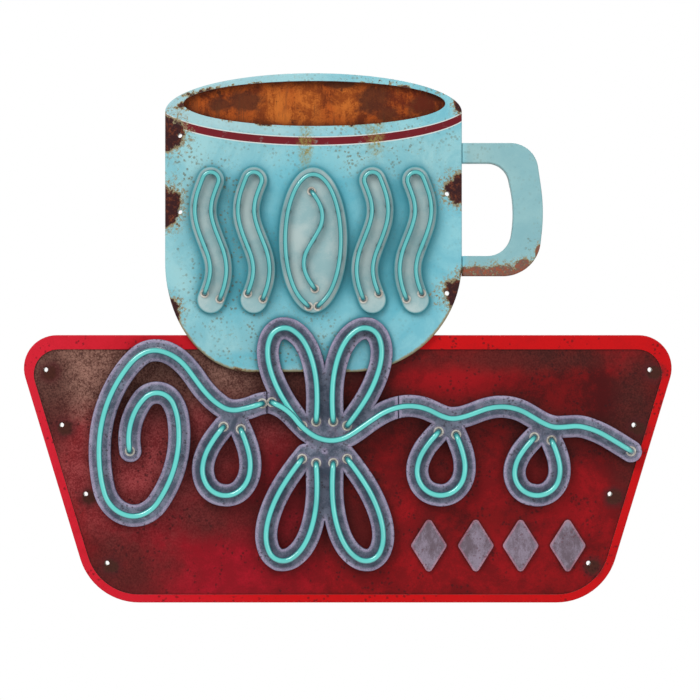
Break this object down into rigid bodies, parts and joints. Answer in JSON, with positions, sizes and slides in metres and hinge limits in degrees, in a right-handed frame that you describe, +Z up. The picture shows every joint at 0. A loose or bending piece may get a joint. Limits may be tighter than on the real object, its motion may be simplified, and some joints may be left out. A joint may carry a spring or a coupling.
{
  "type": "neon advertising sign",
  "caption": "Wall-hung neon sign: raised coffee cup with handle over a trapezoid panel, scrolled raised band, glass tubes, rear frame and transformer box.",
  "frame": {"origin": "on the wall plane (the back edges of the pans), midway between the two top bolts of the base", "axes": "+Z up, +X to the right seen from the front, -Y towards the viewer; the wall is the plane Y = 0"},
  "size_m": [0.8436, 0.0764, 0.689],
  "materials": {
    "band_enamel": "mottled slate-blue enamel",
    "base_enamel": "worn satin enamel on sheet steel",
    "black_plastic": "moulded black",
    "box_paint": "grey hammer paint",
    "brass_metal": "turned brass",
    "ceramic": "glazed insulator",
    "cup_enamel": "worn satin enamel with rust breaks",
    "frame_steel": "mild steel bar, light rust",
    "lead_rubber": "silicone rubber insulation",
    "motif_face": "pale satin enamel",
    "mouth_rust": "matt rusted steel",
    "neon_glass": "turquoise coated neon glass, lit",
    "plate_enamel": "grey enamel with pinkish edges",
    "support_glass": "clear glass",
    "zinc_steel": "zinc-plated steel"
  },
  "bodies": {
    "sign": {"accent_plate_1": "plate_enamel", "accent_plate_2": "plate_enamel", "accent_plate_3": "plate_enamel", "accent_plate_4": "plate_enamel", "base_bolt_sleeves": "zinc_steel", "base_face_pan": "base_enamel", "bean_crease_tube": "neon_glass", "bean_outline_tube": "neon_glass", "bean_pan": "motif_face", "cup_bolt_sleeves": "zinc_steel", "cup_face_pan": "cup_enamel", "cup_handle_pan": "cup_enamel", "cup_mouth_panel": "mouth_rust", "cup_tube_bushings": "ceramic", "door_hinge_pin": "zinc_steel", "frame_posts": "zinc_steel", "frame_rivets": "zinc_steel", "handle_rivets": "zinc_steel", "high_voltage_terminals": "ceramic", "left_loop_tube": "neon_glass", "low_tube_supports": "support_glass", "lower_left_loop_tube": "neon_glass", "lower_right_loop_tube": "neon_glass", "middle_loop_tube": "neon_glass", "pan_nuts": "zinc_steel", "pan_studs": "zinc_steel", "rear_rail_lower": "frame_steel", "rear_rail_upper": "frame_steel", "rear_upright_left": "frame_steel", "rear_upright_right": "frame_steel", "right_loop_tube": "neon_glass", "scroll_band_centre": "band_enamel", "scroll_band_left": "band_enamel", "scroll_band_right": "band_enamel", "scroll_tube_bushings": "ceramic", "steam_1_pan": "motif_face", "steam_1_tube": "neon_glass", "steam_2_pan": "motif_face", "steam_2_tube": "neon_glass", "steam_3_pan": "motif_face", "steam_3_tube": "neon_glass", "steam_4_pan": "motif_face", "steam_4_tube": "neon_glass", "stem_tube_left": "neon_glass", "stem_tube_right": "neon_glass", "stem_tube_supports": "support_glass", "supply_gland": "black_plastic", "supply_gland_nut": "black_plastic", "switch_body": "black_plastic", "switch_nut": "zinc_steel", "transformer_case": "box_paint", "transformer_screws": "zinc_steel", "transformer_tray": "box_paint", "tube_end_caps": "brass_metal", "upper_left_loop_tube": "neon_glass", "upper_right_loop_tube": "neon_glass", "wiring_leads": "lead_rubber"},
    "box_door": {"transformer_door": "box_paint", "door_latch_screw": "brass_metal"},
    "switch_lever": {"switch_lever": "zinc_steel"}
  },
  "joints": [
    {"name": "box_door_hinge", "type": "hinge", "parent": "sign", "child": "box_door", "pos_m": [-0.153, -0.0043, -0.228], "axis": [0, 0, 1], "range_deg": [0, 110]},
    {"name": "switch_lever_throw", "type": "hinge", "parent": "sign", "child": "switch_lever", "pos_m": [0.064, -0.019, -0.228], "axis": [0, 1, 0], "range_deg": [0, 24]}
  ]
}
